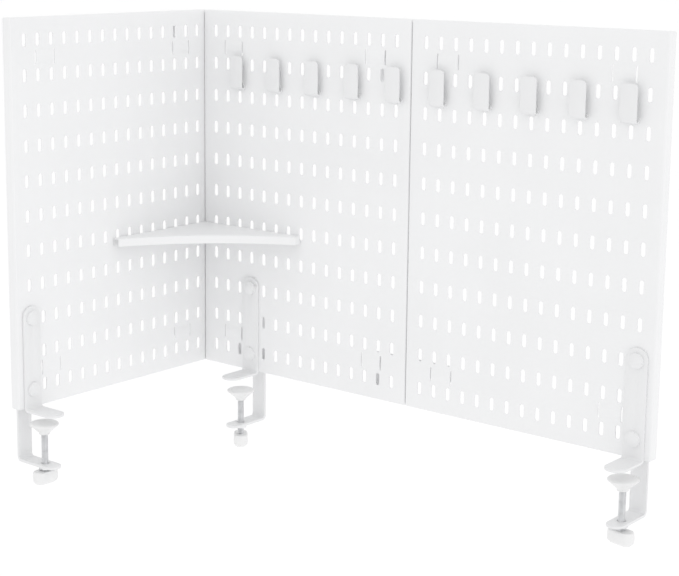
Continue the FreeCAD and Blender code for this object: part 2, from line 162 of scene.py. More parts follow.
class PegboardClampSizes(bpy.types.PropertyGroup):
    head_radius: length("Bolt head", "Radius of a bolt's head", 8.5 * MM)
    head_height: length("Head height", "Height of a bolt's head", 4.2 * MM)
    head_rim: length("Head rim", "Straight rim of a bolt's head", 2.2 * MM)
    bolt_radius: length("Bolt", "Radius of a bolt's shank", 2.4 * MM)
    bolt_edge: length("Bolt edge", "Rounding of the head and chamfer of the end", 0.5 * MM)
    bolt_end: length("Bolt end", "Bolt's end past the front of its nut", 5.5 * MM)
    screw_radius: length("Screw", "Radius of the clamp screw", 4 * MM)
    thread_pitch: length("Thread pitch", "Rise of the thread in a turn", 1.25 * MM)
    thread_depth: length("Thread depth", "Crest to root", 0.6 * MM)
    run_out: length("Run-out", "Height of the chamfer at each end of the screw", 1.2 * MM)
    end_share: share("Screw's end", "Radius left at the ends, as a share of the full one", 0.62)
    bore_gap: length("Bore gap", "Screw to the bore of its pad and knob", 0.3 * MM)
    pad_radius: length("Pad", "Radius of the pad's face", 17 * MM)
    pad_floor: length("Pad floor", "Pad's face to the end of its bore", 6 * MM)
    knob_length: length("Knob length", "Knob from tip to tip", 32 * MM)
    knob_width: length("Knob width", "Knob across its middle", 18 * MM)
    knob_shoulder: length("Knob shoulder", "Rounding round the knob's top", 1.4 * MM)
    knob_bevel: length("Knob bevel", "Slope round the knob's foot", 3 * MM)
    knob_foot: length("Knob foot", "Height of the last, flatter part of that slope", 0.5 * MM)
    knob_bulge: length("Knob bulge", "How far the knob's sides swell", 0.5 * MM)
    knob_bore: length("Knob bore", "Depth of the knob's bore", 12 * MM)
    bore_edge: length("Bore edge", "Chamfer round the knob's bore", 0.4 * MM)
    left_turn: angle("Left knob", "How the left knob stands", 86)
    middle_turn: angle("Middle knob", "How the middle knob stands", -48)
    right_turn: angle("Right knob", "How the right knob stands", -10)
    plate_edge: length("Plate edge", "Rounding of the jaws and rear bars", 0.6 * MM)
    nut_edge: length("Nut edge", "Rounding of the bolts' nuts", 0.3 * MM)
    jaw_nut_edge: length("Jaw nut edge", "Rounding of the nut under the jaw", 0.4 * MM)


class PegboardFinishes(bpy.types.PropertyGroup):
    paint: colour("Powder coat", "Colour of the powder-coated steel", (0.872, 0.875, 0.881))
    fitting: colour("Fittings' coat", "Colour of the painted clamps and hooks",
                    (0.825, 0.828, 0.834))
    plastic: colour("Moulded plastic", "Colour of the moulded parts", (0.85, 0.85, 0.85))
    steel: colour("Zinc-plated steel", "Colour of the bright screws and nuts", (0.84, 0.845, 0.855))
    # Painted shade: a dark colour mixed into the thread's roots, standing in for the shade in the
    # grooves.
    painted_groove_shade: colour("Steel in the grooves", "Colour in the thread's roots", (0.20, 0.21, 0.22))
    thick_tone: share("Thick coat's tone", "Brightness of the coat where it lies thicker", 0.975)
    rubbed_tone: share("Rubbed tone", "Brightness of the plastic where it is handled", 0.955)
    mottle_tone: share("Mottle's tone", "Brightness of the plating's duller spots", 0.78)
    paint_gloss: share("Powder coat roughness", "Roughness of the coat", 0.42)
    plastic_gloss: share("Plastic roughness", "Roughness of the plastic", 0.38)
    steel_gloss: share("Steel roughness", "Roughness of the plating", 0.24)
    peel_depth: length("Orange peel", "Depth of the powder coat's orange peel", 0.05 * MM)
    grain_depth: length("Grain", "Depth of the plastic's grain", 0.04 * MM)
    scratch_depth: length("Scratches", "Depth of the plating's drawn scratches", 0.02 * MM)


class PegboardStage(bpy.types.PropertyGroup):
    eye: FloatVectorProperty(name="Eye", description="Camera's place", size=3,
                             default=(1.3397, -1.4849, 0.5449), subtype="XYZ", unit="LENGTH")
    turn: angle("Turn", "Camera's heading, left of straight ahead", 40.03)
    dip: angle("Dip", "Camera's tilt below the horizon", 10.509)
    roll: angle("Roll", "Camera's roll", -0.408)
    lens: FloatProperty(name="Lens", description="Focal length in millimetres on a 36 mm sensor",
                        default=87.07)
    shift: FloatVectorProperty(name="Shift", description="Sideways and upward lens shift", size=2,
                               default=(0.058, -0.0707))
    floor_drop: length("Floor", "Floor below the origin", 0.62)
    floor_reach: length("Floor reach", "How far the floor goes each way", 40.0)
    floor_tone: colour("Floor's colour", "Colour of the floor", (0.97, 0.97, 0.97))
    floor_cloud: colour("Floor's clouds", "Colour of the floor's faint clouds", (0.95, 0.95, 0.955))
    floor_glow: FloatProperty(name="Floor glow", description="Light given off by the floor",
                              default=0.10)
    sky: FloatProperty(name="Surround", description="Strength of the pale surround", default=0.945)
    key: power("Key light", "Power of the light at the upper left", 0.2)
    top: power("Top light", "Power of the light overhead", 3.0)
    fill: power("Fill light", "Power of the light at the right", 18.0)
    back: power("Back light", "Power of the light behind", 0.4)


GROUPS = {"pegboard_panel": PegboardPanelSizes, "pegboard_hook": PegboardHookSizes,
          "pegboard_shelf": PegboardShelfSizes, "pegboard_clamp": PegboardClampSizes,
          "pegboard_finish": PegboardFinishes, "pegboard_stage": PegboardStage}


# ---- surfaces ----

MERGE = 0.002 * MM       # points nearer than this become one
SLIVER = 0.001 * MM      # edges shorter than this are dropped
CREASE = 32.0            # degrees past which an edge stays crisp
ROUNDED = 30.0           # degrees past which an edge is rounded
FLAT = 0.5               # degrees within which faces are one plane
EDGE_FACETS = 3          # of each rounded edge of a strap


def quads(rows, columns):
    """Corner numbers of the quads of a grid of points, row by row."""
    index = np.arange(rows * columns).reshape(rows, columns)
    return np.stack([index[:-1, :-1], index[:-1, 1:], index[1:, 1:], index[1:, :-1]],
                    axis=-1).reshape(-1, 4)


def patch(points):
    """Quads, corner points and all, of a (rows, columns, 3) surface."""
    rows, columns = points.shape[:2]
    return points.reshape(-1, 3)[quads(rows, columns)]


def unit(degrees):
    """Unit vectors (cos a, sin a)."""
    a = np.radians(degrees)
    return np.stack([np.cos(a), np.sin(a)], axis=-1)


def arc(centre, radius, start, end, steps):
    """Points of a circle's arc in a plane: centre + radius (cos a, sin a), a from start to
    end in degrees."""
    return np.asarray(centre) + radius * unit(np.linspace(start, end, steps + 1))


def cubic(a, b, c, d, steps):
    """Bezier curve from a to d with handles b and c, the first point left out."""
    t = np.linspace(0, 1, steps + 1)[1:, None]
    a, b, c, d = (np.array(p, float) for p in (a, b, c, d))
    return (1 - t)**3 * a + 3 * (1 - t)**2 * t * b + 3 * (1 - t) * t**2 * c + t**3 * d


def smooth(u):
    """The smooth step 3u^2 - 2u^3."""
    return 3 * u**2 - 2 * u**3


def mesh_of(name, soups, ngons=()):
    """One closed mesh from arrays of quads (n, 4, 3) and single many-sided faces, with shared
    points merged, faces turned outwards and edges sharper than the crease left crisp."""
    corners = np.concatenate([s.reshape(-1, 3) for s in soups] + [np.asarray(g) for g in ngons])
    count = 4 * sum(len(s) for s in soups)
    starts = count + np.cumsum([0] + [len(g) for g in ngons])
    faces = np.arange(count).reshape(-1, 4).tolist()
    faces += [list(range(a, b)) for a, b in zip(starts, starts[1:])]
    mesh = bpy.data.meshes.new(name)
    mesh.from_pydata(corners, [], faces)
    work = bmesh.new()
    work.from_mesh(mesh)
    bmesh.ops.remove_doubles(work, verts=work.verts, dist=MERGE)
    bmesh.ops.dissolve_degenerate(work, dist=SLIVER, edges=work.edges)
    bmesh.ops.recalc_face_normals(work, faces=work.faces)
    work.to_mesh(mesh)
    work.free()
    mesh.polygons.foreach_set("use_smooth", np.ones(len(mesh.polygons), bool))
    mesh.set_sharp_from_angle(angle=math.radians(CREASE))
    return mesh


def piece(name, mesh, body, material, node):
    """Puts a finished mesh in the scene, riding on its body in place of its node."""
    made = bpy.data.objects.new(name, mesh)
    bpy.context.scene.collection.objects.link(made)
    mesh.materials.append(material)
    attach(made, body)
    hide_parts(node)
    return made


def softened(node, name, body, material, width, segments=2):
    """A merged copy of a node's mesh, its flat faces joined up and its edges rounded."""
    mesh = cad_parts[node].data.copy()
    mesh.name = name
    mesh.materials.clear()
    work = bmesh.new()
    work.from_mesh(mesh)
    bmesh.ops.remove_doubles(work, verts=work.verts, dist=MERGE)
    bmesh.ops.dissolve_limit(work, angle_limit=math.radians(FLAT), verts=work.verts,
                             edges=work.edges)
    work.to_mesh(mesh)
    work.free()
    mesh.polygons.foreach_set("use_smooth", np.ones(len(mesh.polygons), bool))
    made = piece(name, mesh, body, material, node)
    bevel = made.modifiers.new("Rounded edges", "BEVEL")
    bevel.width = width
    bevel.segments = segments
    bevel.limit_method = "ANGLE"
    bevel.angle_limit = math.radians(ROUNDED)
    bevel.harden_normals = True
    bevel.use_clamp_overlap = True


def turned(profile, centre, steps, about=(0, 0, 1), start=(1, 0, 0)):
    """Surface of revolution: each (radius, height) point of the profile is carried round the
    axis, centre + radius (start cos a + side sin a) + height about."""
    a = np.linspace(0, 2 * np.pi, steps + 1)
    a[-1] = 0.0
    up, out = np.array(about, float), np.array(start, float)
    side = np.cross(up, out)
    ring = np.cos(a)[:, None] * out + np.sin(a)[:, None] * side
    profile = np.asarray(profile, float)
    points = (np.asarray(centre, float) + profile[:, None, :1] * ring[None]
              + profile[:, None, 1:] * up)
    return patch(points)


def strap(line, half_width, thick, edge):
    """Flat strap along a line in a plane of constant x. At each point of the line the section
    is a rounded rectangle, half_width to each side along x and half the thickness to each
    side along the line's normal; the first and last few sections shrink so that the ends are
    rounded as the edges are. Returns quads and the two end faces."""
    across = np.array([1.0, 0.0, 0.0])
    ahead = np.gradient(line, axis=0)
    ahead /= np.linalg.norm(ahead, axis=1)[:, None]
    normal = np.cross(ahead, across)
    along = np.r_[0.0, np.cumsum(np.linalg.norm(np.diff(line, axis=0), axis=1))]
    near = np.minimum(along, along[-1] - along)
    shrink = edge - np.sqrt(np.clip(edge**2 - np.clip(edge - near, 0, edge)**2, 0, None))
    quarter = np.linspace(0, 90, EDGE_FACETS + 1)
    corner = np.radians(np.arange(4)[:, None] * 90 + quarter).ravel()
    sx, sy = np.repeat([(1, 1), (-1, 1), (-1, -1), (1, -1)], len(quarter), axis=0).T
    wide = np.maximum(half_width - shrink, 0.01 * MM)[:, None]
    deep = (thick / 2 - shrink)[:, None]
    r = np.minimum(np.minimum(edge, deep), wide)
    a = sx * (wide - r) + r * np.cos(corner)
    b = sy * (deep - r) + r * np.sin(corner)
    points = line[:, None] + a[..., None] * across + b[..., None] * normal[:, None]
    closed = np.concatenate([points, points[:, :1]], axis=1)
    return patch(closed), [points[0], points[-1]]


def with_ends(line, edge):
    """The line with extra points close to both ends, where a strap's sections shrink: they
    lie edge (1 - cos a) from the end, for a of 30, 60 and 90 degrees."""
    line = np.asarray(line, float)
    extra = edge * (1 - np.cos(np.radians([30, 60, 90])))[:, None]
    ahead, back = line[1] - line[0], line[-2] - line[-1]
    first = line[0] + extra * ahead / np.linalg.norm(ahead)
    last = line[-1] + extra * back / np.linalg.norm(back)
    return np.concatenate([line[:1], first, line[1:-1], last[::-1], line[-1:]])


# ---- shader maths ----

MIX_SOCKETS = (0, 6, 7)   # factor and the two colours of a Mix node
MIX_RESULT = 2            # its colour output


class Wire:
    """A number or colour inside a material. Sums, differences and products of numbers add
    Math nodes."""

    def __init__(self, tree, socket):
        self.tree, self.socket = tree, socket

    def _maths(self, operation, first, second):
        return self.tree.add("ShaderNodeMath", {"operation": operation}, {0: first, 1: second})

    def __add__(self, other):
        return self._maths("ADD", self, other)

    def __radd__(self, other):
        return self._maths("ADD", other, self)

    def __sub__(self, other):
        return self._maths("SUBTRACT", self, other)

    def __rsub__(self, other):
        return self._maths("SUBTRACT", other, self)

    def __mul__(self, other):
        return self._maths("MULTIPLY", self, other)

    def __rmul__(self, other):
        return self._maths("MULTIPLY", other, self)

    def ramp(self, low, high):
        """0 below low, 1 above high, smooth in between."""
        return self.tree.add("ShaderNodeMapRange", {"interpolation_type": "SMOOTHSTEP"},
                             {"Value": self, "From Min": low, "From Max": high})


class Finish:
    """A material being made: one shader, and the nodes that feed it."""

    def __init__(self, name):
        self.material = bpy.data.materials.new(name)
        self.material.use_nodes = True
        self.tree = self.material.node_tree
        self.shader = self.tree.nodes["Principled BSDF"]

    def add(self, kind, settings, inputs, output=0):
        """A node of this kind, with its settings and the values or links of its inputs."""
        node = self.tree.nodes.new(kind)
        for key, value in settings.items():
            setattr(node, key, value)
        for key, value in inputs.items():
            self.feed(node.inputs[key], value)
        return Wire(self, node.outputs[output])

    def feed(self, socket, value):
        if isinstance(value, Wire):
            self.tree.links.new(value.socket, socket)
        else:
            socket.default_value = value

    def noise(self, scale, detail, roughness, stretch=None):
        """Noise over the piece's own coordinates, drawn out along an axis by the stretch."""
        at = self.add("ShaderNodeTexCoord", {}, {}, "Object")
        if stretch:
            at = self.add("ShaderNodeMapping", {}, {"Vector": at, "Scale": stretch})
        return self.add("ShaderNodeTexNoise", {}, {"Vector": at, "Scale": scale,
                                                   "Detail": detail, "Roughness": roughness})

    def attribute(self, name):
        return self.add("ShaderNodeAttribute", {"attribute_name": name}, {}, "Fac")

    def blend(self, amount, first, second):
        """The first colour, turned into the second by the amount."""
        ends = [c if isinstance(c, Wire) else (*c, 1.0) for c in (first, second)]
        return self.add("ShaderNodeMix", {"data_type": "RGBA"},
                        dict(zip(MIX_SOCKETS, (amount, *ends))), MIX_RESULT)

    def bump(self, height, distance):
        return self.add("ShaderNodeBump", {}, {"Distance": distance, "Height": height})

    def set(self, **sockets):
        for name, value in sockets.items():
            self.feed(self.shader.inputs[name.replace("_", " ")], value)
        return self.material


def darker(colour, amount):
    """The colour, dimmed to this share of itself."""
    return tuple(amount * c for c in colour)


def powder_coat(name, colour, finish):
    """White powder coat: a fine orange peel, faint clouds where the coat lies thicker, with a
    slightly duller sheen there, and tiny specks of dust."""
    made = Finish(name)
    peel = made.noise(scale=950, detail=2, roughness=0.45)
    swell = made.noise(scale=240, detail=1, roughness=0.4)
    clouds = made.noise(scale=9, detail=3, roughness=0.55)
    specks = made.noise(scale=2600, detail=0, roughness=0.5)
    thick = clouds.ramp(0.38, 0.68)
    dust = specks.ramp(0.72, 0.80)
    tone = made.blend(thick * 0.6 + dust * 0.2, colour, darker(colour, finish.thick_tone))
    height = peel * 0.6 + swell * 0.4
    made.set(Base_Color=tone, Roughness=finish.paint_gloss - 0.05 + thick * 0.06 + peel * 0.06,
             Normal=made.bump(height, finish.peel_depth))
    return made.set(IOR=1.5, Specular_IOR_Level=0.45)


def moulded_plastic(finish):
    """White moulded plastic: a fine eroded grain, with soft flow marks and handling sheen."""
    made = Finish("moulded_plastic")
    grain = made.noise(scale=1800, detail=3, roughness=0.6)
    flow = made.noise(scale=38, detail=2, roughness=0.5, stretch=(1.0, 1.0, 0.25))
    rubbed = flow.ramp(0.45, 0.75)
    tone = made.blend(rubbed * 0.5, finish.plastic, darker(finish.plastic, finish.rubbed_tone))
    made.set(Base_Color=tone, Roughness=finish.plastic_gloss + grain * 0.10 - rubbed * 0.05,
             Normal=made.bump(grain * 0.7 + flow * 0.3, finish.grain_depth))
    return made.set(IOR=1.49, Specular_IOR_Level=0.5)


def plated_steel(finish):
    """Zinc plating: painted shade that darkens the thread's grooves against the crests, with drawn
    scratches that run along the shank and a faint mottle from the bath."""
    made = Finish("plated_steel")
    drawn = made.noise(scale=420, detail=4, roughness=0.6, stretch=(1.0, 1.0, 0.08))
    bath = made.noise(scale=120, detail=2, roughness=0.5)
    mottle = bath.ramp(0.4, 0.7)
    tone = made.blend(mottle * 0.45, finish.steel, darker(finish.steel, finish.mottle_tone))
    # Painted shade: the thread's roots darkened by their depth in the groove.
    tone = made.blend(made.attribute("groove") * 0.25, tone, finish.painted_groove_shade)
    made.set(Base_Color=tone, Roughness=finish.steel_gloss + drawn * 0.12 + mottle * 0.06,
             Normal=made.bump(drawn, finish.scratch_depth))
    return made.set(Metallic=1.0, IOR=2.2)


def material(name, maker):
    """The named material, made the first time that it is asked for."""
    return bpy.data.materials.get(name) or maker(bpy.context.scene.pegboard_finish)


def paint():
    return material("powder_coat", lambda s: powder_coat("powder_coat", s.paint, s))


def fitting():
    return material("fittings_coat", lambda s: powder_coat("fittings_coat", s.fitting, s))


def plastic():
    return material("moulded_plastic", moulded_plastic)


def steel():
    return material("plated_steel", plated_steel)


# ---- where things stand ----

LEFT_AXES = np.array([[0.0, 1.0, 0.0], [-1.0, 0.0, 0.0], [0.0, 0.0, 1.0]])


def axes_of(side):
    """The directions along a panel, into it and up. The left panel stands a quarter turn
    round from the other two."""
    return LEFT_AXES if side == "left" else np.eye(3)


def panel_corner(side):
    """The corner of a panel's face where its own frame has its origin."""
    low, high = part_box(side + "_panel")
    depth = bpy.context.scene.pegboard_panel.depth
    if side == "left":
        return np.array([low.x + depth, low.y, low.z])
    return np.array([low.x, high.y - depth, low.z])


def on_panel(side, points):
    """Points in a panel's own frame, brought to where the panel stands."""
    return np.asarray(points, float) @ axes_of(side) + panel_corner(side)


def clamp_centre(side):
    """Where a clamp screw's axis crosses the height of the jaws' undersides, z = 0."""
    low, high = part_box(side + "_pad")
    return np.array([(low.x + high.x) / 2, (low.y + high.y) / 2, 0.0])


# ---- the panel ----

HALF_ROUND = 8                     # points of the half circle at each end of a slot
CELL_X = 3.2 * MM                  # upright line through a slot's cell, from its middle
CELL_Z = (4.9 * MM, 8.0 * MM)      # level lines through it


def stadium(r, half):
    """An outline that reaches half up and half down from its middle, with a half circle of
    radius r at each end: (r cos a, r sin a +- (half - r))."""
    a = np.r_[np.linspace(0, np.pi, HALF_ROUND), np.linspace(np.pi, 2 * np.pi, HALF_ROUND)]
    lift = np.repeat([half - r, r - half], HALF_ROUND)
    return np.stack([r * np.cos(a), lift + r * np.sin(a)], axis=-1)


def slot_rings(s):
    """Three rings of sixteen points round a slot: its cell's border, the outline eased by the
    punched edge, and the outline. The border has the cell's four corners, two points between
    them above and below and four at each side. The cells leave room for a loop between rows."""
    hx, hz = s.pitch / 2, (s.row_pitch - s.loop_height - s.loop_land) / 2
    tx, (z1, z2) = CELL_X, CELL_Z
    border = np.array([(hx, z1), (hx, z2), (hx, hz), (tx, hz), (-tx, hz), (-hx, hz), (-hx, z2),
                       (-hx, z1), (-hx, -z1), (-hx, -z2), (-hx, -hz), (-tx, -hz), (tx, -hz),
                       (hx, -hz), (hx, -z2), (hx, -z1)])
    r, half = s.slot_width / 2, s.slot_length / 2
    return border, stadium(r + s.slot_edge, half + s.slot_edge), stadium(r, half)


def at_depth(flat, y):
    """Points (x, z), set at the depth y."""
    return np.stack([flat[..., 0], np.full(flat.shape[:-1], y), flat[..., 1]], axis=-1)


def ring_band(inner, outer, y_inner, y_outer, centres):
    """Quads between two rings of the same count, repeated at each centre (x, z)."""
    a, b = at_depth(centres[:, None] + inner, y_inner), at_depth(centres[:, None] + outer, y_outer)
    return np.stack([a, b, np.roll(b, -1, axis=1), np.roll(a, -1, axis=1)],
                    axis=2).reshape(-1, 4, 3)


def flat_quads(x, z, y):
    """Quads of the grid of lines x and z at the depth y."""
    return patch(at_depth(np.stack(np.meshgrid(x, z, indexing="ij"), axis=-1), y))


def loop_quads(s, x, z):
    """A raised loop between two slits: the strap's face is at -rise S(u), where u runs from 0
    at its ends to 1 past the ramp and S is the smooth step, and its back lies a sheet's
    thickness behind. Narrow plain bands close the cell round it."""
    outer = s.loop_width / 2
    inner = outer - s.loop_slit
    half, edge = s.loop_height / 2, (s.loop_height + s.loop_land) / 2
    line = s.pitch / 2 - CELL_X
    across = np.array([-inner, -line, 0.0, line, inner])
    up = half - np.linspace(0, 1, 7) * s.loop_ramp
    up = np.r_[-up, up[::-1]]
    rise = -s.loop_out * smooth(np.clip((half - np.abs(up)) / s.loop_ramp, 0, 1))
    gx, gz = np.meshgrid(across, up, indexing="ij")
    made = []
    for y in (0.0, s.sheet):
        made.append(patch(np.stack([gx, np.broadcast_to(rise + y, gx.shape), gz], axis=-1)))
        for ends in ((-edge, -half), (half, edge)):
            made.append(flat_quads(across, np.array(ends), y))
        for k in (-1, 1):
            end, near, far = s.pitch * k, inner * k, outer * k
            land = [[(end, -edge), (near, -edge), (near, -half), (far, -half)],
                    [(end, -edge), (far, -half), (far, half), (end, edge)],
                    [(end, edge), (far, half), (near, half), (near, edge)]]
            made.append(at_depth(np.array(land), y))
    for k in (-1, 1):
        near, far = inner * k, outer * k
        made.append(patch(np.stack([np.stack([np.full_like(up, near), rise + y, up], axis=-1)
                                    for y in (0.0, s.sheet)])))
        slit = np.array([(near, -half), (far, -half), (far, half), (near, half)])
        made.append(patch(np.stack([at_depth(slit, y) for y in (0.0, s.sheet)])))
    return np.concatenate(made) + np.array([x, 0, z])


def rim_quads(s, x, z, wide, tall):
    """The folded rim: a profile of (inset, depth) points, down the outer bend, along the
    wall, round to the return lip and back inside, carried round the panel's outline. A point
    starts from the outline a bend's radius inside the edge, moves out by bend - inset and
    stays within the rectangle that lies the inset inside the edge. Sideways the inset is at
    most the side lip, so the upright lips are narrower."""
    t, d, b = s.sheet, s.depth, s.bend
    profile = np.concatenate([
        arc((b, b), b, 270, 180, steps=5), arc((b, d - b), b, 180, 90, steps=5),
        [(s.lip, d), (s.lip, d - t)],
        arc((b, d - b), b - t, 90, 180, steps=4), arc((b, b), b - t, 180, 270, steps=4)])
    fan = np.radians([22.5, 45, 67.5])
    ways = [(x, np.full_like(x, b), 270), (np.full_like(z, wide - b), z, 0),
            (x[::-1], np.full_like(x, tall - b), 90), (np.full_like(z, b), z[::-1], 180)]
    places, turns = [], []
    for px, pz, way in ways:
        places += [np.stack([px, pz], axis=-1), np.repeat([[px[-1], pz[-1]]], len(fan), axis=0)]
        turns += [np.full(len(px), math.radians(way)), math.radians(way) + fan]
    at, turn = np.concatenate(places), np.concatenate(turns)
    at, turn = np.r_[at, at[:1]], np.r_[turn, turn[:1]]
    inset = profile[:, :1]
    aside = np.minimum(inset, s.side_lip)
    px = np.clip(at[:, 0] + (b - aside) * np.cos(turn), aside, wide - aside)
    pz = np.clip(at[:, 1] + (b - inset) * np.sin(turn), inset, tall - inset)
    return patch(np.stack([px, np.broadcast_to(profile[:, 1:], px.shape), pz], axis=-1))


def panel_quads(s):
    """Every quad of a panel in its own frame: left end at x = 0, face at y = 0, foot at z = 0.
    Slots and loops fill their cells, and a grid of plain quads fills what is left."""
    border, eased, slot = slot_rings(s)
    wide = 2 * s.margin + (s.columns - 1) * s.pitch
    tall = 2 * s.row_margin + (s.rows - 1) * s.row_pitch
    cx = s.margin + np.arange(s.columns) * s.pitch
    cz = s.row_margin + np.arange(s.rows) * s.row_pitch
    centres = np.stack(np.meshgrid(cx, cz, indexing="ij"), axis=-1).reshape(-1, 2)
    made = [ring_band(eased, border, 0, 0, centres),
            ring_band(slot, eased, s.slot_edge, 0, centres),
            ring_band(slot, slot, s.sheet, s.slot_edge, centres),
            ring_band(slot, border, s.sheet, s.sheet, centres)]
    hx, hz = border.max(axis=0)
    levels = np.array([-hz, -CELL_Z[1], -CELL_Z[0], CELL_Z[0], CELL_Z[1], hz])
    x = np.r_[s.bend, (cx[:, None] + [-hx, -CELL_X, CELL_X]).ravel(), cx[-1] + hx, wide - s.bend]
    z = np.r_[s.bend, (cz[:, None] + levels).ravel(), tall - s.bend]
    mid_x, mid_z = (x[1:] + x[:-1]) / 2, (z[1:] + z[:-1]) / 2
    in_row = (np.abs(mid_z[:, None] - cz) < hz).any(axis=1)
    in_column = (mid_x > cx[0] - hx) & (mid_x < cx[-1] + hx)
    plain = ~(in_column[:, None] & in_row[None])
    aside, up = s.loop_column * s.pitch, s.row_pitch / 2
    for lx in (cx[0] + aside, cx[-1] - aside):
        for lz in (cz[0] + up, cz[-1] - up):
            plain &= ~((np.abs(mid_x - lx) < s.pitch)[:, None] & (np.abs(mid_z - lz) < hz)[None])
            made.append(loop_quads(s, lx, lz))
    for y in (0.0, s.sheet):
        made.append(flat_quads(x, z, y)[plain.ravel()])
    made.append(rim_quads(s, x, z, wide, tall))
    return np.concatenate(made)


class PEGBOARD_OT_panels(bpy.types.Operator):
    """Three folded panels with round-ended slots and raised loops"""
    bl_idname = "pegboard.panels"
    bl_label = "Panels"

    def execute(self, context):
        flat = panel_quads(context.scene.pegboard_panel)
        for side in SIDES:
            mesh = mesh_of(side + "_sheet", [on_panel(side, flat)])
            piece(side + "_sheet", mesh, "board", paint(), side + "_panel")
        return {"FINISHED"}


class PEGBOARD_OT_connectors(bpy.types.Operator):
    """Plates behind the joints between the panels"""
    bl_idname = "pegboard.connectors"
    bl_label = "Connectors"

    def execute(self, context):
        width = context.scene.pegboard_panel.connector_edge
        for kind in ("straight_connector", "corner_bracket"):
            for level in ("top", "bottom"):
                node = "%s_%s" % (kind, level)
                softened(node, node + "_plate", "board", paint(), width)
        return {"FINISHED"}


# ---- the hooks ----

class PEGBOARD_OT_hooks(bpy.types.Operator):
    """Ten J-shaped strap hooks, each with its tab in a slot"""
    bl_idname = "pegboard.hooks"
    bl_label = "Hooks"

    def execute(self, context):
        s = context.scene.pegboard_hook
        face = panel_corner("middle")[1]
        for number in range(1, HOOKS + 1):
            node = "hook_%d" % number
            low, high = (np.array(v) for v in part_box(node))
            parts, ends = strap_hook(s, (low[0] + high[0]) / 2, low, high[2], face)
            mesh = mesh_of(node + "_strap", parts, ends)
            piece(node + "_strap", mesh, node, fitting(), node)
        return {"FINISHED"}


def strap_hook(s, x, low, top, face):
    """A strap bent to a J: straight down the front, half a circle under, up the back leaf,
    which narrows by the smooth step. The front's half width follows a quarter circle at the
    top corners. A second strap, the tab, runs back from the leaf and turns down behind the
    sheet."""
    t = s.thickness
    front, back = low[1] + t / 2, face - s.gap - t / 2
    middle, r = (front + back) / 2, (back - front) / 2
    bottom, under = low[2] + t / 2 + r, low[2] + s.tab_height
    falls = top - s.corner * (1 - unit(np.linspace(0, 90, 7))[:, 0])
    climbs = bottom + np.linspace(0, s.taper, 5)[1:]
    line = np.r_[[(front, h) for h in falls], arc((middle, bottom), r, 180, 360, steps=14),
                 [(back, h) for h in climbs], [(back, under + s.tab + s.leaf_end)]]
    line = with_ends(np.c_[np.full(len(line), x), line], s.edge)
    behind = line[:, 1] > middle
    fall = np.where(behind, 1, np.clip((top - line[:, 2]) / s.corner, 0, 1))
    narrowed = np.where(behind, smooth(np.clip((line[:, 2] - bottom) / s.taper, 0, 1)), 0)
    half = (s.width / 2 - s.corner * (1 - np.sqrt(1 - (1 - fall)**2))
            - (s.width - s.back_width) / 2 * narrowed)
    body, ends = strap(line, half, t, s.edge)
    level, lip = under + s.tab / 2, face + s.tab_reach + s.tab / 2
    tab = with_ends([(x, back, level), (x, lip - s.tab_bend, level),
                     (x, lip - s.tab_cut, level - s.tab_cut), (x, lip, level - s.tab_bend),
                     (x, lip, under - s.tab_drop)], s.tab_edge)
    catch, tips = strap(tab, np.full(len(tab), s.tab_width / 2), s.tab, s.tab_edge)
    return [body, catch], ends + tips


# ---- the shelf ----

class PEGBOARD_OT_shelf(bpy.types.Operator):
    """Pressed corner shelf with a turned-down rim"""
    bl_idname = "pegboard.shelf"
    bl_label = "Shelf"

    def execute(self, context):
        s = context.scene.pegboard_shelf
        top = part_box("corner_shelf")[1].z
        corner = np.array([panel_corner("left")[0], panel_corner("middle")[1], top])
        pressed, plates = pressing(s)
        ears = [ear(s, side, column, top) for side in EAR_COLUMNS for column in EAR_COLUMNS[side]]
        mesh = mesh_of("corner_shelf_pressing", [pressed + corner] + [e[0] for e in ears],
                       [p + corner for p in plates] + [f for e in ears for f in e[1]])
        piece("corner_shelf_pressing", mesh, "corner_shelf", paint(), "corner_shelf")
        return {"FINISHED"}


FAN = 6                  # points at each corner of the shelf
FRONT = 33               # points along its front


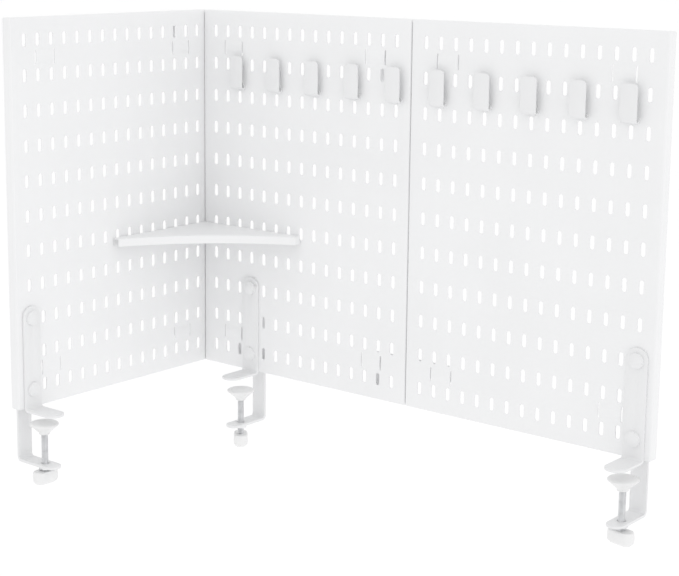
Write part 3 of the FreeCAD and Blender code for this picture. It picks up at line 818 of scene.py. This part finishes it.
def pressing(s):
    """The shelf from its back corner, x and -y along the panels. A section of (inset, depth)
    points is carried round the line that lies one bend radius inside the outline: a point is
    the line's point moved out by bend - inset along the outward normal, which turns in a fan
    at the corners. The front is a hollow arc of radius (h^2 + s^2) / 2 s for half chord h and
    hollow s. Along the left tip's blunt end and along the middle panel the section is the bare
    plate, so there is no rim there. Returns quads and the flat top and underside."""
    e, t, g, leg, tip, cut = s.bend, s.sheet, s.gap, s.leg, s.tip, s.edge
    h = (leg - tip) / math.sqrt(2)
    radius = (h**2 + s.sag**2) / (2 * s.sag)
    c = (leg + tip) / 2 + (radius - s.sag) / math.sqrt(2)
    across = c - math.sqrt((radius + e)**2 - (c - leg + e)**2)
    start = math.degrees(math.atan2(c - leg + e, c - across))
    swing = np.linspace(start, 90 - start, FRONT)
    front = (c, c) - (radius + e) * unit(swing)
    corners = [((g + e, g + e), -90, -180), ((g + e, leg - e), 180, 90),
               ((across, leg - e), 90, start), ((leg - e, across), 90 - start, 0),
               ((leg - e, g + e), 0, -90)]
    fans = [(np.repeat([p], FAN, axis=0), np.linspace(a, b, FAN)) for p, a, b in corners]
    back, left, left_front, right_front, right = fans
    runs = [back, left, left_front, (front, swing), right_front, right, back]
    at = np.concatenate([r[0] for r in runs])
    turn = np.concatenate([r[1] for r in runs])
    rim = np.concatenate([arc((e, e), e, 270, 180, steps=5),
                          [(0, s.rim - cut), (cut, s.rim), (t - cut, s.rim), (t, s.rim - cut),
                           (t, t), (e, t)]])
    bare = np.concatenate([[(e, 0)], arc((cut, cut), cut, 270, 180, steps=3),
                           arc((cut, t - cut), cut, 180, 90, steps=3),
                           np.repeat([(e, t)], 3, axis=0)])
    starts = np.cumsum([len(r[1]) for r in runs])[[1, 5]]   # bare after left and after right
    spots = np.repeat(starts, 2)
    order = np.insert(np.arange(len(at)), spots, np.stack([starts - 1, starts], axis=-1).ravel())
    shape = np.stack([rim, bare])[np.insert(np.zeros(len(at), int), spots, 1)]
    out = e - shape[..., 0]
    flat = at[order][:, None] + out[..., None] * unit(turn[order])[:, None]
    points = np.stack([flat[..., 0], -flat[..., 1], -shape[..., 1]], axis=-1)
    edge = at[:-FAN]
    plates = [np.c_[edge[:, 0], -edge[:, 1], np.full(len(edge), z)] for z in (0.0, -t)]
    return patch(points), plates


def ear(s, side, column, top):
    """One upright ear of the shelf: an L-shaped plate through a slot, as quads and two faces."""
    sizes = bpy.context.scene.pegboard_panel
    x = sizes.margin + column * sizes.pitch
    under = top - s.ear_under - panel_corner(side)[2]
    back, root = s.ear_reach, -s.gap - s.sheet / 2
    line = np.array([(root, under), (back, under), (back, under - s.ear_drop),
                     (back + s.sheet, under - s.ear_drop), (back + s.sheet, under + s.ear_height),
                     (root, under + s.ear_height)])
    sides = [on_panel(side, np.c_[np.full(len(line), x + k * s.ear / 2), line]) for k in (-1, 1)]
    ring = np.stack([np.r_[p, p[:1]] for p in sides])
    return patch(ring), sides


# ---- the clamps ----

class PEGBOARD_OT_clamp_frames(bpy.types.Operator):
    """Upper jaws, rear brackets and the nuts on them"""
    bl_idname = "pegboard.clamp_frames"
    bl_label = "Clamp frames"

    def execute(self, context):
        s = context.scene.pegboard_clamp
        for side in SIDES:
            for node, name, width in (("_upper_jaw", "_jaw_plate", s.plate_edge),
                                      ("_rear_bracket", "_rear_bar", s.plate_edge)):
                softened(side + node, side + name, "board", fitting(), width, segments=3)
            for node, name, width in (("_bolt_nuts", "_bolt_hexes", s.nut_edge),
                                      ("_jaw_nut", "_jaw_hex", s.jaw_nut_edge)):
                softened(side + node, side + name, "board", steel(), width)
        return {"FINISHED"}


class PEGBOARD_OT_bolts(bpy.types.Operator):
    """Low-domed bolts through the panels"""
    bl_idname = "pegboard.bolts"
    bl_label = "Bolts"

    def execute(self, context):
        s = context.scene.pegboard_clamp
        for side in SIDES:
            low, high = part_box(side + "_bolts")
            head, far = reach(side, "_bolts")
            near = reach(side, "_bolt_nuts")[0] + s.bolt_end
            made = [domed_bolt(s, side, z, head + s.head_height, end) for z, end in
                    ((low.z + s.head_radius, far), (high.z - s.head_radius, near))]
            mesh = mesh_of(side + "_bolt_pair", made)
            piece(side + "_bolt_pair", mesh, "board", fitting(), side + "_bolts")
        return {"FINISHED"}


def reach(side, node):
    """Where a node of a clamp starts and ends along the clamp's inward direction."""
    return np.sort(np.array(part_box(side + node)) @ axes_of(side)[1])


def domed_bolt(s, side, z, seat, end):
    """A bolt turned about its axis. The head is a thin rim with a cap of radius
    (r^2 + h^2) / 2 h over it, the shank is plain and ends in a chamfer. The cap stops at 0.9
    of its half angle, where the rim's rounding meets it. seat and end are distances along the
    clamp's inward direction."""
    r, rim, b, soft = s.head_radius, s.head_rim, s.bolt_radius, s.bolt_edge
    h, inner = s.head_height - rim, r - soft
    cap = (inner**2 + h**2) / (2 * h)
    half_angle = math.degrees(math.asin(inner / cap))
    profile = np.concatenate([
        [(0, seat - end), (b - soft, seat - end), (b, seat - end + soft), (b, 0), (r, 0)],
        arc((inner, rim), soft, 0, 60, steps=3),
        arc((0, rim + h - cap), cap, 90 - 0.9 * half_angle, 90, steps=8)])
    centre, (aside, inward, _) = clamp_centre(side), axes_of(side)
    foot = centre - inward * (inward @ centre) + inward * seat + (0, 0, z)
    return turned(profile, foot, steps=40, about=-inward, start=aside)


class PEGBOARD_OT_screws(bpy.types.Operator):
    """Threaded clamp screws"""
    bl_idname = "pegboard.screws"
    bl_label = "Screws"

    def execute(self, context):
        s = context.scene.pegboard_clamp
        for side in SIDES:
            low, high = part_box(side + "_screw")
            centre = clamp_centre(side)
            mesh = mesh_of(side + "_thread", *threaded(s, centre, low.z, high.z))
            points = np.empty(len(mesh.vertices) * 3)
            mesh.vertices.foreach_get("co", points)
            radius = np.hypot(*(points.reshape(-1, 3) - centre)[:, :2].T)
            # Depth into the thread's groove, which sets how much painted shade the steel gets in
            # the roots.
            groove = np.clip((s.screw_radius - radius) / s.thread_depth, 0, 1)
            mesh.attributes.new("groove", "FLOAT", "POINT").data.foreach_set("value", groove)
            piece(side + "_thread", mesh, side + "_screw", steel(), side + "_screw")
        return {"FINISHED"}


AROUND = 24              # points round the screw
TURN_ROWS = 6            # rows of points in a turn of the thread


def threaded(s, centre, low, high):
    """A threaded rod. Radius at angle a and height z is the crest less the depth times
    (1 - cos 2 pi w) / 2, where the wave w is z / pitch - a / 2 pi. Over the run-out at each
    end it falls to the end's share as a quarter ellipse. Returns its quads and end faces."""
    rows = int(round((high - low) / s.thread_pitch)) * TURN_ROWS
    z = np.linspace(low, high, rows + 1)
    a = np.linspace(0, 2 * np.pi, AROUND + 1)
    wave = z[:, None] / s.thread_pitch - a[None] / (2 * np.pi)
    groove = 0.5 - 0.5 * np.cos(2 * np.pi * wave)
    run = np.clip(np.minimum(z - low, high - z) / s.run_out, 0, 1)[:, None]
    taper = s.end_share + (1 - s.end_share) * np.sqrt(run * (2 - run))
    radius = (s.screw_radius - s.thread_depth * groove) * taper
    radius[:, -1] = radius[:, 0]
    ring = np.stack([radius * np.cos(a), radius * np.sin(a),
                     np.broadcast_to(z[:, None], radius.shape)], axis=-1)
    ring[:, -1] = ring[:, 0]
    ring += centre
    return [patch(ring)], [ring[0, :-1], ring[-1, :-1]]


class PEGBOARD_OT_pads(bpy.types.Operator):
    """Swivel pads on the screws' ends"""
    bl_idname = "pegboard.pads"
    bl_label = "Pads"

    def execute(self, context):
        s = context.scene.pegboard_clamp
        for side in SIDES:
            low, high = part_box(side + "_pad")
            centre = clamp_centre(side) + (0, 0, high.z)
            profile = pad_profile(s, high.z - low.z)
            mesh = mesh_of(side + "_swivel_pad", [turned(profile, centre, steps=48)])
            piece(side + "_swivel_pad", mesh, side + "_pad", plastic(), side + "_pad")
        return {"FINISHED"}


def pad_profile(s, tall):
    """(radius, height) points of a pad hung from its face at height 0: a face that falls a
    little outwards, three Bezier curves round the rim, in along the flank and down to the
    neck, a rounded foot and the blind bore for the screw."""
    r, bore, soft = s.pad_radius, s.screw_radius + s.bore_gap, 0.8 * MM
    face, rim = (9 * MM, -0.1 * MM), (r, -2.9 * MM)
    flank, neck = (r - 3.4 * MM, -6.2 * MM), (6.0 * MM, 1.6 * MM - tall)
    return np.concatenate([
        [(0, 0), face],
        cubic(face, (13 * MM, -0.3 * MM), (r - 0.2 * MM, -1.0 * MM), rim, steps=8),
        cubic(rim, (r - 0.1 * MM, -3.6 * MM), (r - 1.6 * MM, -4.6 * MM), flank, steps=6),
        cubic(flank, (11.0 * MM, -8.5 * MM), (8.2 * MM, -11.0 * MM), neck, steps=7),
        arc((5.5 * MM, soft - tall), soft, 45, -90, steps=5),
        [(bore, -tall), (bore, -s.pad_floor), (0, -s.pad_floor)]])


class PEGBOARD_OT_knobs(bpy.types.Operator):
    """Oblong thumb knobs at the screws' feet"""
    bl_idname = "pegboard.knobs"
    bl_label = "Knobs"

    def execute(self, context):
        s = context.scene.pegboard_clamp
        for side in SIDES:
            low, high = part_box(side + "_knob")
            centre = clamp_centre(side) + (0, 0, high.z)
            turn = getattr(s, side + "_turn")
            ahead = np.array([[math.cos(turn), math.sin(turn), 0],
                              [-math.sin(turn), math.cos(turn), 0], [0, 0, 1]])
            shell, foot, bore = (p @ ahead + centre for p in thumb_knob(s, high.z - low.z))
            mesh = mesh_of(side + "_thumb_knob", [shell], [foot, bore])
            piece(side + "_thumb_knob", mesh, side + "_screw", plastic(),
                  side + "_knob")
        return {"FINISHED"}


def thumb_knob(s, tall):
    """An oblong knob hung from z = 0. At depth d its outline is two half circles of radius
    width / 2 - inset(d) about points half the straight length apart: the inset is a rounded
    shoulder, a side that swells by the bulge as sin(pi u), and a foot bevelled in two slopes.
    The bore is a circle with as many points. Returns quads, the foot and the bore's end."""
    half, wide = (s.knob_length - s.knob_width) / 2, s.knob_width / 2
    round_top, bulge, bevel = s.knob_shoulder, s.knob_bulge, s.knob_bevel
    u = np.linspace(0, 1, 9)
    side = np.c_[bulge * (1 - np.sin(np.pi * u)), round_top + u * (tall - bevel - round_top)]
    section = np.concatenate([
        arc((round_top + bulge, round_top), round_top, 270, 180, steps=5)[:-1], side,
        [(bulge + 0.8 * bevel, tall - s.knob_foot), (bulge + bevel, tall)]])
    a = np.linspace(-90, 90, 15)
    ring = unit(np.r_[a, a + 180, -90])
    middle = np.r_[np.repeat([half, -half], len(a)), half]
    out = wide - section[:, :1]
    x, y = middle + out * ring[:, 0], out * ring[:, 1]
    shell = np.stack([x, y, np.broadcast_to(-section[:, 1:], x.shape)], axis=-1)
    bearing = unit(np.degrees(np.arctan2(y[0], x[0])))
    r, cut = s.screw_radius + s.bore_gap, s.bore_edge
    bore = np.stack([np.c_[radius * bearing, np.full(len(bearing), z)]
                     for radius, z in ((r, -s.knob_bore), (r, -cut), (r + cut, 0))])
    return patch(np.concatenate([bore, shell])), shell[-1, :-1], bore[0, :-1]


# ---- the stage ----

# Name, place and size of each square light. Its power is the stage's property of that name.
LIGHTS = (("key", (-0.55, -1.20, 1.00), 0.7), ("top", (0.25, -0.45, 2.30), 2.4),
          ("fill", (6.0, -0.9, 1.2), 3.0), ("back", (-0.30, 1.90, 0.90), 1.8))
FLOOR_LINES = 25
SENSOR = 36.0            # width of the camera's sensor, millimetres
CLIP = (0.05, 200.0)     # nearest and furthest that the camera sees, metres


class PEGBOARD_OT_stage(bpy.types.Operator):
    """Pale floor, soft lights and the camera"""
    bl_idname = "pegboard.stage"
    bl_label = "Stage"

    def execute(self, context):
        scene, s = context.scene, context.scene.pegboard_stage
        scene.view_settings.view_transform = "Standard"
        world = bpy.data.worlds.new("surround")
        world.use_nodes = True
        surround = world.node_tree.nodes["Background"]
        surround.inputs["Color"].default_value = (1, 1, 1, 1)
        surround.inputs["Strength"].default_value = s.sky
        scene.world = world
        pale_floor(s)
        low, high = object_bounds()
        for name, place, size in LIGHTS:
            light = bpy.data.lights.new(name, "AREA")
            light.shape, light.size, light.energy = "SQUARE", size, getattr(s, name)
            lamp = bpy.data.objects.new(name, light)
            lamp.location = place
            towards = (low + high) / 2 - Vector(place)
            lamp.rotation_euler = towards.to_track_quat("-Z", "Y").to_euler()
            scene.collection.objects.link(lamp)
        lens = bpy.data.cameras.new("camera")
        lens.sensor_width, lens.sensor_fit, lens.lens = SENSOR, "HORIZONTAL", s.lens
        lens.shift_x, lens.shift_y = s.shift
        lens.clip_start, lens.clip_end = CLIP
        camera = bpy.data.objects.new("camera", lens)
        camera.location = s.eye
        camera.rotation_euler = (math.pi / 2 - s.dip, s.roll, s.turn)
        scene.collection.objects.link(camera)
        scene.camera = camera
        return {"FINISHED"}


def pale_floor(s):
    """A level grid below the origin, clouded very faintly, that gives off a little light."""
    line = np.linspace(-s.floor_reach, s.floor_reach, FLOOR_LINES)
    gx, gy = np.meshgrid(line, line, indexing="ij")
    points = np.stack([gx, gy, np.full_like(gx, -s.floor_drop)], axis=-1).reshape(-1, 3)
    mesh = bpy.data.meshes.new("floor")
    mesh.from_pydata(points, [], quads(FLOOR_LINES, FLOOR_LINES)[:, ::-1].tolist())
    floor = bpy.data.objects.new("floor", mesh)
    bpy.context.scene.collection.objects.link(floor)
    made = Finish("pale_floor")
    clouds = made.noise(scale=1.5, detail=2, roughness=0.5)
    made.set(Base_Color=made.blend(clouds, s.floor_tone, s.floor_cloud), Roughness=0.9)
    made.set(Specular_IOR_Level=0.1, Emission_Color=(1.0, 1.0, 1.0, 1.0),
             Emission_Strength=s.floor_glow)
    mesh.materials.append(made.material)
    floor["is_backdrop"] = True


OPERATORS = (PEGBOARD_OT_stage, PEGBOARD_OT_panels, PEGBOARD_OT_connectors, PEGBOARD_OT_hooks,
             PEGBOARD_OT_shelf, PEGBOARD_OT_clamp_frames, PEGBOARD_OT_bolts, PEGBOARD_OT_screws,
             PEGBOARD_OT_pads, PEGBOARD_OT_knobs)


class PEGBOARD_PT_sidebar(bpy.types.Panel):
    """Everything the pegboard is made of"""
    bl_idname = "PEGBOARD_PT_sidebar"
    bl_label = "Pegboard"
    bl_space_type = "VIEW_3D"
    bl_region_type = "UI"
    bl_category = "Pegboard"

    def draw(self, context):
        for operator in OPERATORS:
            self.layout.operator(operator.bl_idname)
        for name in GROUPS:
            box = self.layout.box()
            box.label(text=name.replace("pegboard_", "").capitalize())
            group = getattr(context.scene, name)
            for prop in GROUPS[name].__annotations__:
                box.prop(group, prop)


def register():
    for cls in (*GROUPS.values(), *OPERATORS, PEGBOARD_PT_sidebar):
        bpy.utils.register_class(cls)
    for name, cls in GROUPS.items():
        setattr(bpy.types.Scene, name, PointerProperty(type=cls))


def unregister():
    for name in GROUPS:
        delattr(bpy.types.Scene, name)
    for cls in reversed((*GROUPS.values(), *OPERATORS, PEGBOARD_PT_sidebar)):
        bpy.utils.unregister_class(cls)


def main():
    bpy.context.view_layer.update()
    register()
    for operator in OPERATORS:
        family, name = operator.bl_idname.split(".")
        getattr(getattr(bpy.ops, family), name)()


if __name__ == "__main__":
    main()
